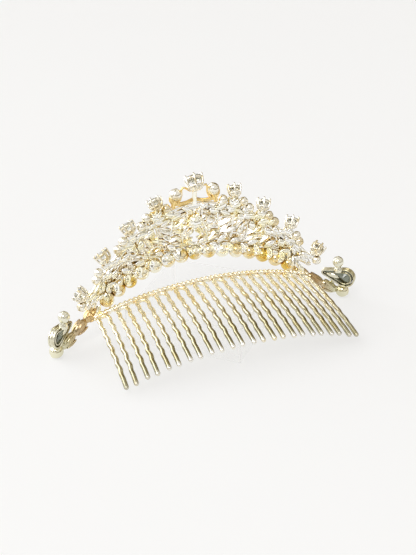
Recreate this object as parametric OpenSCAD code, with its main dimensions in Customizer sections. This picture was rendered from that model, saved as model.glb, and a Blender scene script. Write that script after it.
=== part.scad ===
// A comb tiara that rests on a clear square block, seen from the wearer's side along +Y.
// Millimetres, +Z up. The origin is the middle of the block's underside.
// Places on the band are given as (s, z): s is the distance along the band from its middle,
// z is the height above the table. Both halves are alike, so only s > 0 is listed.

/* [Stand] */
// Side of the square clear block
stand_side = 44; // [36:1:50]
// Height of the block, just under the comb's teeth
stand_height = 13.3; // [11:0.1:13.3]
// Width of the bevel along the block's edges
stand_bevel = 0.5; // [0.2:0.1:1]

/* [Comb] */
// Number of teeth
tooth_count = 24; // [12:2:24]
// Distance between the tips of the teeth
tooth_pitch = 3.9; // [3.4:0.1:3.9]
// Width of the comb at its spine, as a share of its width at the tips
spine_share = 0.95; // [0.9:0.01:1]
// Length of a tooth from the spine to its tip
tooth_length = 37.5; // [28:0.5:40]
// Thickness of the tooth wire
tooth_wire = 1.7; // [1:0.1:1.8]
// How far the waves of a tooth swing to each side
wave_swing = 0.3; // [0.2:0.05:0.6]
// Length of one wave
wave_length = 5; // [4:0.1:6]
// Part of a tooth that is wavy, from the spine on
wavy_share = 0.84; // [0.4:0.02:0.88]
// How much closer the two legs of one bent wire stand at their tips
leg_pinch = 0.35; // [0:0.05:0.6]
// Distance from the spine's middle to where the arch of a bent wire ends
arch_drop = 3.2; // [3:0.1:3.4]
// Radius of the dome that the comb is bowed to
comb_radius = 127; // [110:1:150]
// How far the teeth dip below the level
comb_tilt = 11; // [5:0.5:14]
// Height of the middle of the spine above the table
comb_height = 18.9; // [18.5:0.1:21]
// Place of the middle of the spine, toward the wearer from the block's middle
comb_back = 1; // [0:0.5:2]
// Width of the spine
spine_width = 1.9; // [1.6:0.1:2.4]
// Thickness of the spine
spine_thick = 1.9; // [1.8:0.1:2.2]
// Bulge of the binding wire round the spine, at each tooth and between the teeth
binding_bulge = 0.25; // [0.2:0.05:0.5]
// Width of one binding along the spine
binding_width = 1.1; // [0.8:0.1:1.4]

/* [Band] */
// Radius of the band, seen from above
band_radius = 130; // [115:1:150]
// Place of the middle of the band, in front of the block's middle
band_front = 9.4; // [8:0.2:12]
// Height of the middle of the upper edge
upper_height = 44; // [42:0.5:48]
// Radius to which the upper edge drops to each side
upper_drop = 37.5; // [36:0.5:42]
// Half length of the pierced band along its curve
band_reach = 45.5; // [44:0.5:47]
// Radius of the wires that edge the band
rail_radius = 0.7; // [0.5:0.05:0.9]
// Radius of the vine wires inside the band
vine_radius = 0.6; // [0.5:0.05:0.8]
// Thickness of a leaf
leaf_thick = 1.7; // [1.2:0.1:2.4]

/* [Cup border] */
// Number of round cups along the lower edge
cup_count = 15; // [11:2:15]
// Distance between cups
cup_pitch = 5.5; // [5.2:0.1:5.5]
// Radius of a cup's round back
cup_radius = 2.82; // [2.8:0.01:2.85]
// Height of the middle cup above the table
cup_height = 25.4; // [24:0.1:26]
// Radius to which the row of cups drops to each side
cup_drop = 76.5; // [75:0.5:90]
// Diameter of the stone in a cup
cup_stone = 4.2; // [3.8:0.1:4.4]
// Distance of a cup's rim in front of its widest place
cup_rim = 0.9; // [0.6:0.1:1.2]
// Depth of the seat behind a cup's widest place
cup_seat = 1.3; // [1.2:0.1:1.6]
// Radius of the eye in a cup's back
cup_eye = 0.5; // [0.4:0.05:0.7]

/* [Crest] */
// Diameter of the eight smaller crest stones
crest_stone = 4.7; // [4:0.1:5]
// Diameter of the centre stone
center_stone = 6.4; // [5.6:0.1:7]
// Radius of the small balls
ball_radius = 1.8; // [1.4:0.1:2]
// Radius of the two large balls beside the centre stone
large_ball_radius = 2.3; // [2:0.1:2.5]
// Radius of a stem
stem_radius = 0.85; // [0.6:0.05:1]
// How far the crest stones look up, measured from straight forward
stone_lift = 50; // [30:5:70]

/* [Ends] */
// Radius of the round end of the pear setting
pear_round = 3.9; // [3.5:0.1:4.2]
// Radius of the narrow end of the pear setting
pear_tip = 1.3; // [1:0.1:1.6]
// Depth of the pear setting
pear_depth = 2.6; // [2:0.1:3]
// Turn of the pear setting about the upright, from straight across
pear_turn = 43; // [40:1:50]
// Width of the rim round the pear stone
pear_rim = 0.8; // [0.6:0.1:1]
// Radius of the ball that rests on the table
foot_ball_radius = 2.6; // [2.4:0.05:2.7]
// Radius of the ball on top of the pear setting
top_ball_radius = 2.1; // [1.8:0.1:2.3]
// Width of the three fat leaves that lead down to the foot ball
chain_width = 4.2; // [3.8:0.1:4.6]
// How far the fat leaves stand out in front of the band's curve
chain_out = 2.2; // [1.8:0.1:2.4]

/* [Hidden] */
// Clearance between pieces that are seated on each other
gap = 0.1;
small_sides = 6;
ball_sides = 12;
center_leaf_count = 8;

// Crest stones: [s of the stem's foot, s of the stone, z of the stone]
CREST = [[15, 15.6, 48.2], [25.4, 26.8, 41.4], [35.8, 37.8, 33.4], [44.9, 48.3, 21.9]];
center_z = 54;

// Small balls of the crest: [s of the foot, s of the ball, z of the ball]
BALLS = [[11.6, 11.2, 44.9], [18.3, 19.1, 43], [22, 21.4, 40.3], [28.2, 29, 36.4],
         [31.8, 31.2, 33.8], [38.6, 39.8, 27.4], [40.4, 40.9, 25], [45.2, 47.9, 17]];
large_ball = [7.4, 49.6];

// Leaves of the band: [s, z of the foot, turn from upright, length, width]
LEAVES = [[1.2, 42.6, 112, 9.5, 2.2], [3.4, 41.2, 128, 6.5, 2], [7.6, 34.2, 62, 8.6, 3],
          [10.2, 31.6, 74, 9, 2.8], [9.4, 38.4, 86, 8.4, 2.4], [15.4, 35.2, 58, 4.8, 2.6],
          [16.2, 29, 30, 7.4, 3], [19.6, 30, 62, 7, 2.8], [22.6, 29.2, 22, 6.4, 2.8],
          [26.6, 27.8, 30, 4.6, 2.6], [33.6, 21.6, 20, 4.8, 2.6], [36.4, 20.4, 40, 3.8, 2.4],
          [39.2, 20.2, 122, 5.4, 2.2], [4.4, 29.6, 75, 6.6, 2.4], [12.6, 28, 20, 4.4, 2.4],
          [3.4, 34.4, 78, 6, 2.4], [6.2, 33.8, 118, 5.4, 2.4], [15.8, 33.4, 40, 4.8, 2.4],
          [19.2, 33.2, 35, 4, 2.4], [15.2, 28.9, 88, 5, 2.2], [24.8, 26.8, 64, 5.2, 2.6],
          [28.8, 24.8, 82, 4.8, 2.2], [33, 23.2, 96, 4.8, 2.2], [33.8, 26, 122, 4.4, 2.2],
          [19.2, 27.2, 71, 6.2, 3], [25.5, 26.8, 117, 5.9, 3], [8.8, 32, 56, 5.6, 2.8],
          [8.2, 40.5, 96, 5.6, 2.8], [0.6, 31.8, 124, 5.4, 2.7], [27.6, 31.1, 119, 5.3, 2.6],
          [38, 23.1, 146, 5.2, 2.6], [22, 37, 152, 5, 2.4], [18, 38.2, 128, 4.8, 2.3],
          [4.7, 30.5, 50, 4.7, 2.3], [12.4, 33.8, 40, 4.6, 2.2], [6.1, 42.2, 112, 4.6, 2.2],
          [28.8, 29.3, 178, 4.2, 2.2], [17.5, 28.9, 47, 4.2, 2.2]];

// Open leaf-shaped loops: [s, z of the foot, turn, length, width]
LOOPS = [[22, 26.4, 82, 6.4, 3.4], [29.6, 29, 152, 7.4, 3.6], [32.6, 28.6, 146, 7.4, 2.8],
         [13.4, 31, 120, 6.6, 4], [23.6, 29.8, 58, 5.2, 2.8]];

// Round eyelets: [s, z, radius]
EYELETS = [[6.6, 37.4, 2.1], [3.9, 32.8, 2], [19.4, 27.8, 1.7], [10.6, 30, 1.5]];

// Vines that tie the band's two edges together: foot and head as s along the lower and upper edge
VINES = [[4.6, 3], [9.6, 9.4], [13.6, 16], [19, 22.4], [25, 27.6], [30.2, 33.2], [35.4, 38.2], [41, 42.4]];

// Pear setting: middle of its round end, distance to the middle of its narrow end, and its climb
pear_center = [57.8, -3.2, 9];
pear_reach = 8.3;
pear_climb = 9.7;
pear_stone_lift = 0.6;

// Beside the pear setting, from the middle of its round end: [across, out, up]
top_ball = [-2.8, -1.9, 7.6];
top_stalk = [-2.6, -1.6, 3.3];
low_stalk = [-5, 0.6, -5.2];

// Chain of fat leaves from the end of the cups down to the foot ball: [s, z of the middle, thickness]
CHAIN = [[42.4, 10.9, 4], [47.9, 7.6, 3.4], [53.3, 4.5, 3.4]];
chain_slope = 120;
link_length = 7.6;
foot_ball = [58.7, 2.65];

// Solder knuckle between the chain and the comb's spine: [s, z, distance in front of the band's curve]
knuckle = [43.2, 11.2, 0.9];

metal = [0.93, 0.89, 0.78];
gold = [0.85, 0.7, 0.42];
glass = [0.9, 0.92, 0.93];

// Turn of the band about +Z at the distance s from its middle
function band_turn(s) = s / band_radius * 180 / PI;

// Point on the band, or out in front of it
function band_point(s, z, out = 0) =
    let(a = band_turn(s), r = band_radius + out) [r * sin(a), band_front - band_radius + r * cos(a), z];

// The row of cups lies on an arc: place of cup i, counted from the middle
function cup_angle(i) = i * cup_pitch / cup_drop * 180 / PI;
function cup_s(i) = cup_drop * sin(cup_angle(i));
function cup_z(s) = cup_height - cup_drop + sqrt(pow(cup_drop, 2) - s * s);

// Heights of the band's lower and upper edge wires and of the crest's wire
function lower_z(s) = let(rise = cup_radius + gap + rail_radius)
    cup_height - cup_drop + sqrt(pow(cup_drop + rise, 2) - s * s);
function upper_z(s) = upper_height - s * s / (2 * upper_drop) - rail_radius;
function crest_z(s) = upper_z(s) + (2 * rail_radius + gap) * sqrt(1 + pow(s / upper_drop, 2));

// Puts a child on the band: its +Z points up the turned direction, its +Y to the front
module on_band(s, z, turn = 0) {
    translate(band_point(s, z)) rotate([0, 0, -band_turn(s)]) rotate([0, turn, 0]) children();
}

module both_sides() {
    children();
    mirror([1, 0, 0]) children();
}

// A wire of equal thickness that follows points [s, z] on the band
module band_wire(path, radius, sides = small_sides, out = 0) {
    n = len(path);
    corners = [for (i = [0 : n - 1])
        let(p = band_point(path[i][0], path[i][1], out),
            before = band_point(path[max(i - 1, 0)][0], path[max(i - 1, 0)][1], out),
            after = band_point(path[min(i + 1, n - 1)][0], path[min(i + 1, n - 1)][1], out),
            a = band_turn(path[i][0]),
            front = [sin(a), cos(a), 0],
            side = cross(after - before, front) / norm(after - before))
        for (k = [0 : sides - 1])
            p + radius * (cos(360 * k / sides) * front + sin(360 * k / sides) * side)];
    walls = [for (i = [0 : n - 2], k = [0 : sides - 1])
        [i * sides + k, (i + 1) * sides + k, (i + 1) * sides + (k + 1) % sides, i * sides + (k + 1) % sides]];
    foot = [for (k = [0 : sides - 1]) k];
    head = [for (k = [sides - 1 : -1 : 0]) (n - 1) * sides + k];
    polyhedron(corners, concat(walls, [foot], [head]));
}

// A marquise leaf with a ridge on both faces, from its foot along +Z
module leaf(length, width, thick = leaf_thick) {
    stations = [0.2, 0.5, 0.8];
    sides = 6;
    rings = [for (t = stations, k = [0 : sides - 1])
        let(swell = pow(sin(180 * t), 0.8))
        [width / 2 * swell * cos(360 * k / sides), thick / 2 * swell * sin(360 * k / sides), length * t]];
    last = len(stations) - 1;
    tips = [[0, 0, 0], [0, 0, length]];
    foot = [for (k = [0 : sides - 1]) [0, 2 + k, 2 + (k + 1) % sides]];
    walls = [for (i = [0 : last - 1], k = [0 : sides - 1])
        [2 + i * sides + k, 2 + (i + 1) * sides + k, 2 + (i + 1) * sides + (k + 1) % sides,
         2 + i * sides + (k + 1) % sides]];
    head = [for (k = [0 : sides - 1]) [1, 2 + last * sides + (k + 1) % sides, 2 + last * sides + k]];
    polyhedron(concat(tips, rings), concat(foot, walls, head));
}

// A leaf-shaped ring of flat wire, from its foot along +Z
module leaf_loop(length, width) {
    rim = 0.9;
    steps = 6;
    function outline(inset) = concat(
        [for (i = [0 : steps]) let(t = i / steps)
            [-(width / 2 - inset) * pow(sin(180 * t), 0.8), inset + (length - 2 * inset) * t]],
        [for (i = [steps - 1 : -1 : 1]) let(t = i / steps)
            [(width / 2 - inset) * pow(sin(180 * t), 0.8), inset + (length - 2 * inset) * t]]);
    rotate([90, 0, 0]) linear_extrude(1.4, center = true) difference() {
        polygon(outline(0));
        polygon(outline(rim));
    }
}

// A round eyelet that a flat bar crosses
module eyelet(radius) {
    rotate([90, 0, 0]) linear_extrude(1.5, center = true) difference() {
        circle(radius, $fn = 10);
        circle(radius - 0.6, $fn = 10);
    }
    cube([2 * radius - 0.6, 1, 0.7], center = true);
}

module ball(radius) {
    sphere(radius, $fn = ball_sides);
}

// A stem between two places on the band
module stem(s0, z0, s1, z1, radius) {
    band_wire([[s0, z0], [s1, z1]], radius);
}

// A cut stone: eight-sided table, sixteen-sided girdle, pointed back; its table looks to +Z.
// A round one has a slope of 90. A pear-shaped one has a point at +X, and slope is half its angle.
module cut_stone(r, tip = 0, slope = 90) {
    function girdle(a) =
        let(turn = 90 - slope - min(a, 360 - a), reach = turn > 0 ? min(r / cos(turn), tip) : r)
        [reach * cos(a), reach * sin(a)];
    table = [for (k = [0 : 7]) let(p = girdle(45 * k)) [p.x * 0.55, p.y * 0.55, r * 0.3]];
    upper = [for (k = [0 : 15]) let(p = girdle(22.5 * k)) [p.x, p.y, r * 0.06]];
    lower = [for (k = [0 : 15]) let(p = girdle(22.5 * k)) [p.x, p.y, -r * 0.06]];
    culet = [[tip * 0.15, 0, -r * 0.75]];
    faces = concat(
        [[for (k = [7 : -1 : 0]) k]],
        [for (k = [0 : 7]) [k, (k + 1) % 8, 8 + 2 * k + 1]],
        [for (k = [0 : 7]) [k, 8 + 2 * k + 1, 8 + 2 * k]],
        [for (k = [0 : 7]) [k, 8 + 2 * k, 8 + (2 * k + 15) % 16]],
        [for (k = [0 : 15]) [8 + k, 8 + (k + 1) % 16, 24 + (k + 1) % 16, 24 + k]],
        [for (k = [0 : 15]) [40, 24 + k, 24 + (k + 1) % 16]]);
    polyhedron(concat(table, upper, lower, culet), faces);
}

// Puts a child in a crest setting: +Z along the stone's axis, the origin in its girdle plane
module in_setting(foot_s, s, z) {
    lean = atan2(s - foot_s, z - crest_z(foot_s));
    on_band(s, z, lean) rotate([stone_lift - 90, 0, 0]) translate([0, 0, 0.9]) children();
}

// An open cup for a round stone: a bowl with six claws and six windows, on a solid foot
module claw_cup(diameter) {
    r = diameter / 2;
    depth = 1.5 * r;
    seat = 0.12 * r;
    foot = 0.7;
    ring = 0.7;
    module bowl(inset, low, high) {
        rotate_extrude($fn = 24) polygon([[0, low], [0.42 * r - inset, low],
            [0.86 * r - inset, -0.72 * depth], [r + 0.5 - inset, -0.4 * depth],
            [r + 0.5 - inset, high], [0, high]]);
    }
    module window() {
        sill = foot - depth;
        rotate([90, 0, 90]) linear_extrude(2 * r)
            polygon([[-0.13 * r, sill], [0.13 * r, sill], [0.4 * r, -ring], [-0.4 * r, -ring]]);
    }
    difference() {
        union() {
            bowl(0, -depth, 0);
            for (k = [0 : 5]) rotate(60 * k + 15) translate([r + 0.3, 0, -0.1])
                cube([0.6, 0.8, 1.9], center = true);
        }
        bowl(0.5, foot - depth, -seat);
        translate([0, 0, -seat - 0.01]) cylinder(h = 3, r = r + gap, $fn = 24);
        for (k = [0 : 5]) rotate(60 * k + 45) window();
    }
}

module stand() {
    color([0.92, 0.96, 0.97]) rotate(45) difference() {
        translate([-stand_side / 2, -stand_side / 2, 0]) cube([stand_side, stand_side, stand_height]);
        bevel = stand_bevel * sqrt(2);
        for (side = [0 : 3]) rotate(90 * side) translate([stand_side / 2, 0, stand_height])
            rotate([0, 45, 0]) cube([bevel, stand_side * 2, bevel], center = true);
    }
}

// The comb lies on a dome: its flat outline is pushed through a spherical shell.
// Two neighbouring teeth are the legs of one wire, bent to an arch below the spine.
module comb() {
    center_z = -sqrt(pow(comb_radius, 2) - pow(tooth_length / 2, 2));
    half = (tooth_count - 1) / 2;
    reach = 20;
    wavy = wavy_share * tooth_length;
    steps = 6 * round(wavy / wave_length);
    ys = concat([for (k = [0 : steps]) arch_drop + wavy * k / steps], [tooth_length]);
    last = len(ys) - 1;
    edge = tooth_wire / 2;
    function tip(i) = comb_radius * sin((i - half) * tooth_pitch / comb_radius * 180 / PI);
    function root(i) = spine_share * tip(i);
    function lean(i) = leg_pinch / 2 * (i % 2 == 0 ? -1 : 1);
    function wave(y) = wave_swing * min(1, max(0, arch_drop + wavy - y) / wave_length)
        * sin(360 * (y - arch_drop) / wave_length);
    function axis(i, y) = root(i) + (tip(i) - root(i) - lean(i)) * y / tooth_length + wave(y);
    function downward(i, side) = [for (y = ys) [axis(i, y) + side, -y]];
    function upward(i, side) = [for (k = [last : -1 : 0]) [axis(i, ys[k]) + side, -ys[k]]];
    module hairpin(i) {
        left = axis(i, arch_drop);
        bend = (axis(i + 1, arch_drop) - left) / 2;
        function arc(r, angles) = [for (a = angles) [left + bend + r * cos(a), r * sin(a) - arch_drop]];
        polygon(concat(
            upward(i, -edge), arc(bend + edge, [165 : -15 : 15]), downward(i + 1, edge),
            [[axis(i + 1, tooth_length), -tooth_length - edge]],
            upward(i + 1, -edge), arc(bend - edge, [15 : 15 : 165]), downward(i, edge),
            [[axis(i, tooth_length), -tooth_length - edge]]));
    }
    module shell(thick) {
        translate([0, -tooth_length / 2, center_z]) difference() {
            sphere(comb_radius + thick / 2, $fn = 200);
            sphere(comb_radius - thick / 2, $fn = 200);
        }
    }
    module binding(i) {
        along = asin(root(i) / -center_z);
        translate([0, 0, center_z]) rotate([0, 90 + along, 0]) translate([center_z, 0, 0])
            cylinder(h = binding_width, r = spine_thick / 2 + binding_bulge, center = true, $fn = 24);
    }
    spine_half = root(tooth_count - 1) + binding_width;
    color(metal) translate([0, -comb_back, comb_height]) rotate([comb_tilt, 0, 0]) {
        intersection() {
            shell(tooth_wire);
            translate([0, 0, -reach]) linear_extrude(2 * reach)
                for (i = [0 : 2 : tooth_count - 2]) hairpin(i);
        }
        intersection() {
            shell(spine_thick);
            translate([-spine_half, -spine_width / 2, -reach]) cube([2 * spine_half, spine_width, 2 * reach]);
        }
        for (k = [0 : 2 * tooth_count - 2]) binding(k / 2);
    }
}

module band() {
    flower = [0, 38];
    lower = [for (s = [-band_reach : 3.5 : band_reach]) [s, lower_z(s)]];
    upper = [for (s = [-band_reach : 3.5 : band_reach]) [s, upper_z(s)]];
    color(metal) {
        band_wire(lower, rail_radius);
        band_wire(upper, rail_radius);
        on_band(flower[0], flower[1]) {
            ball(3);
            for (k = [0 : center_leaf_count - 1]) rotate([0, 360 * (k + 0.5) / center_leaf_count, 0])
                translate([0, 0, 2.2]) leaf(3.4, 2.8);
        }
        both_sides() {
            for (v = VINES) stem(v[0], lower_z(v[0]), v[1], upper_z(v[1]), vine_radius);
            for (l = LEAVES) on_band(l[0], l[1], l[2]) leaf(l[3], l[4]);
            for (l = LOOPS) on_band(l[0], l[1], l[2]) leaf_loop(l[3], l[4]);
            for (e = EYELETS) on_band(e[0], e[1]) eyelet(e[2]);
        }
    }
}

module crest() {
    wire = [for (s = [-band_reach : 3.5 : band_reach]) [s, crest_z(s)]];
    arm = [[0, 45.6], [3.2, 46.2], [6.4, 45.9], [8.7, 46.5], [9.5, 48.4]];
    color(metal) {
        band_wire(wire, rail_radius);
        stem(0, crest_z(0), 0, center_z - 2.4, stem_radius * 1.25);
        in_setting(0, 0, center_z) claw_cup(center_stone);
        both_sides() {
            for (c = CREST) {
                stem(c[0], crest_z(c[0]), c[1] - 0.25 * (c[1] - c[0]), c[2] - 1.7, stem_radius);
                in_setting(c[0], c[1], c[2]) claw_cup(crest_stone);
            }
            for (b = BALLS) {
                stem(b[0], crest_z(b[0]), b[1], b[2], stem_radius * 0.8);
                on_band(b[1], b[2]) ball(ball_radius);
            }
            band_wire(arm, 0.85);
            on_band(large_ball[0], large_ball[1]) ball(large_ball_radius);
        }
    }
}

// A round cup that is open to the front, with a seat for its stone and an eye in its back
module cup() {
    steps = 6;
    bore = cup_stone / 2 + gap;
    first = asin(cup_eye / cup_radius);
    last = 90 + asin(cup_rim / cup_radius);
    back = [for (k = [0 : steps]) let(a = first + (last - first) * k / steps) cup_radius * [sin(a), -cos(a)]];
    seat = [[bore, cup_rim], [bore, -cup_seat], [cup_eye, -cup_seat]];
    rotate([-90, 0, 0]) rotate_extrude($fn = 48) polygon(concat(back, seat));
}

module cup_border() {
    half = (cup_count - 1) / 2;
    color(gold) for (i = [-half : half]) on_band(cup_s(i), cup_z(cup_s(i))) cup();
}

// Outline of the pear setting, its round end at the origin and its point along +X
module pear_outline(shrink) {
    hull() {
        circle(pear_round - shrink, $fn = 16);
        translate([pear_reach, 0]) circle(max(pear_tip - shrink, 0.2), $fn = 16);
    }
}

// Puts a child beside the pear setting: +X outward along its flat back, +Y to the front
module at_pear(place = [0, 0, 0]) {
    translate(pear_center) rotate([0, 0, -pear_turn]) translate(place) children();
}

// Puts a child on the pear setting: +X toward its point, +Z to the front
module on_pear() {
    at_pear() rotate([-90, 0, 0]) rotate(180 + pear_climb) children();
}

// Puts a child in front of the band's curve: its +Z points up the turned direction
module before_band(s, z, out, turn = 0) {
    translate(band_point(s, z, out)) rotate([0, 0, -band_turn(s)]) rotate([0, turn, 0]) children();
}

module right_end() {
    stalk_radius = 0.8;
    core = [[CHAIN[0][0], CHAIN[0][1]], [50, 6.6], foot_ball];
    color(metal) {
        on_pear() difference() {
            translate([0, 0, -pear_depth / 2]) linear_extrude(pear_depth) pear_outline(0);
            translate([0, 0, -pear_depth]) linear_extrude(2 * pear_depth) pear_outline(pear_rim);
        }
        at_pear(top_stalk) cylinder(h = top_ball.z - top_stalk.z, r = stalk_radius, $fn = 8);
        at_pear(top_ball) ball(top_ball_radius);
        at_pear(low_stalk) cylinder(h = 4, r = stalk_radius, $fn = 8);
        for (link = CHAIN) before_band(link[0], link[1], chain_out, chain_slope)
            translate([0, 0, -link_length / 2]) leaf(link_length, chain_width, link[2]);
        band_wire(core, 0.9, small_sides, chain_out);
        before_band(foot_ball[0], foot_ball[1], chain_out) ball(foot_ball_radius);
        before_band(knuckle[0], knuckle[1], knuckle[2]) ball(1.35);
    }
}

module left_end() {
    mirror([1, 0, 0]) right_end();
}

module crest_stone_at(k) {
    c = CREST[k - 1];
    color(glass) in_setting(c[0], c[1], c[2]) cut_stone(crest_stone / 2);
}

module center_stone_piece() {
    color(glass) in_setting(0, 0, center_z) cut_stone(center_stone / 2);
}

module pear_stone() {
    inset = pear_rim + gap;
    slope = asin((pear_round - pear_tip) / pear_reach);
    color(glass) on_pear() translate([0, 0, pear_stone_lift])
        cut_stone(pear_round - inset, pear_reach + pear_tip - inset, slope);
}

module cup_stone_at(i) {
    color(glass) on_band(cup_s(i), cup_z(cup_s(i))) rotate([-90, 0, 0])
        translate([0, 0, 0.5]) cut_stone(cup_stone / 2);
}

stand();
comb();
band();
crest();
cup_border();
left_end();
right_end();
center_stone_piece();  // center_stone
for (k = [1 : 4]) {
    crest_stone_at(k);
    mirror([1, 0, 0]) crest_stone_at(k);
}
pear_stone();  // pear_stone_right
mirror([1, 0, 0]) pear_stone();  // pear_stone_left
cup_stone_at(0);  // cup_stone_0
for (k = [1 : 7]) {
    cup_stone_at(k);
    cup_stone_at(-k);
}
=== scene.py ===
"""Comb tiara on a clear block: the dressed model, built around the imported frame. Metres, +Z up."""
import math

import bpy
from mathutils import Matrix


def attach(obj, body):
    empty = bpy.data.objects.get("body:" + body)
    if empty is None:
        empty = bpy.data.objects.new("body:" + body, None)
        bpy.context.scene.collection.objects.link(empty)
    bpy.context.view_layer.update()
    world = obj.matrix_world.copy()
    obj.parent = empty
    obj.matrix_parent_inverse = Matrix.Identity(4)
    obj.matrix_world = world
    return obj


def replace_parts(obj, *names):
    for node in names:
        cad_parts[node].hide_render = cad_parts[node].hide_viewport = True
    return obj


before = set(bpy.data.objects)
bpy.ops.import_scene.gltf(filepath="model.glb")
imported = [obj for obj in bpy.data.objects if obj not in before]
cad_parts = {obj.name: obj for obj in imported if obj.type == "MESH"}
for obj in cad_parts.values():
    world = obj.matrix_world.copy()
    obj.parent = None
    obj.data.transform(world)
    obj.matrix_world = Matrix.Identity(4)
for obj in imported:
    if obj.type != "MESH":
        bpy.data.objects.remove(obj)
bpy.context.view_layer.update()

MM = 0.001

# The clear block, in millimetres as all sizes below
BLOCK_HALF = 22
BLOCK_HEIGHT = 13.3

# The comb's dome, teeth and spine
TOOTH_COUNT = 24
TOOTH_PITCH = 3.9
TOOTH_LENGTH = 37.5
SPINE_SHARE = 0.95
DOME_RADIUS = 127
WIRE_RADIUS = 0.78
TIP_SWELL = 0.1
WAVE_SWING = 0.19
WAVE_LENGTH = 5
WAVY_LENGTH = 0.84 * TOOTH_LENGTH
LEG_PINCH = 0.35
ARCH_DROP = 3.2
SPINE_CORE = 0.86
SPINE_RADIUS = 1.3
BINDING_WIRE = 0.5
COMB_PLACE = (0, -1, 18.9)
COMB_LEAN = math.radians(101)

# The band, seen from above, its edge wires and its row of cups
BAND_RADIUS = 130
BAND_FRONT = 9.4
BAND_REACH = 45.5
RAIL_RADIUS = 0.7
RAIL_STEP = 1.3
UPPER_HEIGHT = 44
UPPER_DROP = 37.5
CUPS_A_SIDE = 7
CUP_RADIUS = 2.82
CUP_PITCH = 5.5
CUP_HEIGHT = 25.4
CUP_DROP = 76.5
CUP_STONE = 4.2
FLOWER_HEIGHT = 38

# Settings of the crest: foot s, stone s, stone z
CREST = [(15, 15.6, 48.2), (25.4, 26.8, 41.4), (35.8, 37.8, 33.4), (44.9, 48.3, 21.9)]
CENTER_Z = 54
CREST_STONE = 4.7
CENTER_STONE = 6.4
STONE_LIFT = math.radians(50)

# Balls of the crest: foot s, ball s, ball z; then s and z of the large ball
BALLS = [(11.6, 11.2, 44.9), (18.3, 19.1, 43), (22, 21.4, 40.3), (28.2, 29, 36.4),
         (31.8, 31.2, 33.8), (38.6, 39.8, 27.4), (40.4, 40.9, 25), (45.2, 47.9, 17)]
LARGE_BALL = (7.4, 49.6)
SMALL_RADIUS = 1.8
LARGE_RADIUS = 2.3

# Leaves of the right half: s and z of the foot, turn from upright in degrees, length, width
LEAVES = [(1.2, 42.6, 112, 9.5, 2.2), (3.4, 41.2, 128, 6.5, 2), (7.6, 34.2, 62, 8.6, 3),
          (10.2, 31.6, 74, 9, 2.8), (9.4, 38.4, 86, 8.4, 2.4), (15.4, 35.2, 58, 4.8, 2.6),
          (16.2, 29, 30, 7.4, 3), (19.6, 30, 62, 7, 2.8), (22.6, 29.2, 22, 6.4, 2.8),
          (26.6, 27.8, 30, 4.6, 2.6), (33.6, 21.6, 20, 4.8, 2.6), (36.4, 20.4, 40, 3.8, 2.4),
          (39.2, 20.2, 122, 5.4, 2.2), (4.4, 29.6, 75, 6.6, 2.4), (12.6, 28, 20, 4.4, 2.4),
          (3.4, 34.4, 78, 6, 2.4), (6.2, 33.8, 118, 5.4, 2.4), (15.8, 33.4, 40, 4.8, 2.4),
          (19.2, 33.2, 35, 4, 2.4), (15.2, 28.9, 88, 5, 2.2), (24.8, 26.8, 64, 5.2, 2.6),
          (28.8, 24.8, 82, 4.8, 2.2), (33, 23.2, 96, 4.8, 2.2), (33.8, 26, 122, 4.4, 2.2),
          (19.2, 27.2, 71, 6.2, 3), (25.5, 26.8, 117, 5.9, 3), (8.8, 32, 56, 5.6, 2.8),
          (8.2, 40.5, 96, 5.6, 2.8), (0.6, 31.8, 124, 5.4, 2.7), (27.6, 31.1, 119, 5.3, 2.6),
          (38, 23.1, 146, 5.2, 2.6), (22, 37, 152, 5, 2.4), (18, 38.2, 128, 4.8, 2.3),
          (4.7, 30.5, 50, 4.7, 2.3), (12.4, 33.8, 40, 4.6, 2.2), (6.1, 42.2, 112, 4.6, 2.2),
          (28.8, 29.3, 178, 4.2, 2.2), (17.5, 28.9, 47, 4.2, 2.2)]

# Leaf-shaped loops, in the same columns
LOOPS = [(22, 26.4, 82, 6.4, 3.4), (29.6, 29, 152, 7.4, 3.6), (32.6, 28.6, 146, 7.4, 2.8),
         (13.4, 31, 120, 6.6, 4), (23.6, 29.8, 58, 5.2, 2.8)]

# Eyelets: s, z, radius; vines: s on the lower and on the upper edge wire
EYELETS = [(6.6, 37.4, 2.1), (3.9, 32.8, 2), (19.4, 27.8, 1.7), (10.6, 30, 1.5)]
VINES = [(4.6, 3), (9.6, 9.4), (13.6, 16), (19, 22.4), (25, 27.6), (30.2, 33.2), (35.4, 38.2), (41, 42.4)]

# Shares of a leaf's width by which its face rises across it
RIBBED = (0.42, 0.2, 0.46, 0.2, 0.42)
PLUMP = (0.24, 0.42, 0.38, 0.42, 0.24)

# The ends: the pear setting and the ball beside it
PEAR_CENTER = (57.8, -3.2, 9)
PEAR_TURN = math.radians(43)
PEAR_REACH = 8.3
PEAR_CLIMB = math.radians(9.7)
PEAR_ROUND = 3.9
PEAR_TIP = 1.3
PEAR_RIM = 0.8
BEZEL_HALF = 1.1
TOP_BALL = (-2.8, -1.9, 7.2)
TOP_RADIUS = 2.15

# The chain of fat leaves: s, z and thickness of each, then the balls at its foot and its start
CHAIN = [(42.4, 10.9, 4), (47.9, 7.6, 3.4), (53.3, 4.5, 3.4)]
CHAIN_SLOPE = math.radians(120)
CHAIN_WIDTH = 4.2
CHAIN_OUT = 2.2
LINK_LENGTH = 7.6
FOOT_BALL = (58.7, 2.65)
FOOT_RADIUS = 2.549
KNUCKLE = (43.2, 11.2)
KNUCKLE_OUT = 0.9
KNUCKLE_RADIUS = 1.296

# The photo's view: camera in metres, its direction and its focal length in millimetres
CAMERA_PLACE = (-0.1422, -0.3289, 0.2020)
VIEW = (0.3563, 0.8165, -0.4543)
FOCAL_LENGTH = 95.2

# The middle of the tiara, at which the lamps aim, in metres
LAMP_AIM = (0, 0, 0.03)


def lower_z(s):
    rise = CUP_RADIUS + 0.1 + RAIL_RADIUS
    return CUP_HEIGHT - CUP_DROP + math.sqrt((CUP_DROP + rise) ** 2 - s * s)


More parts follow.
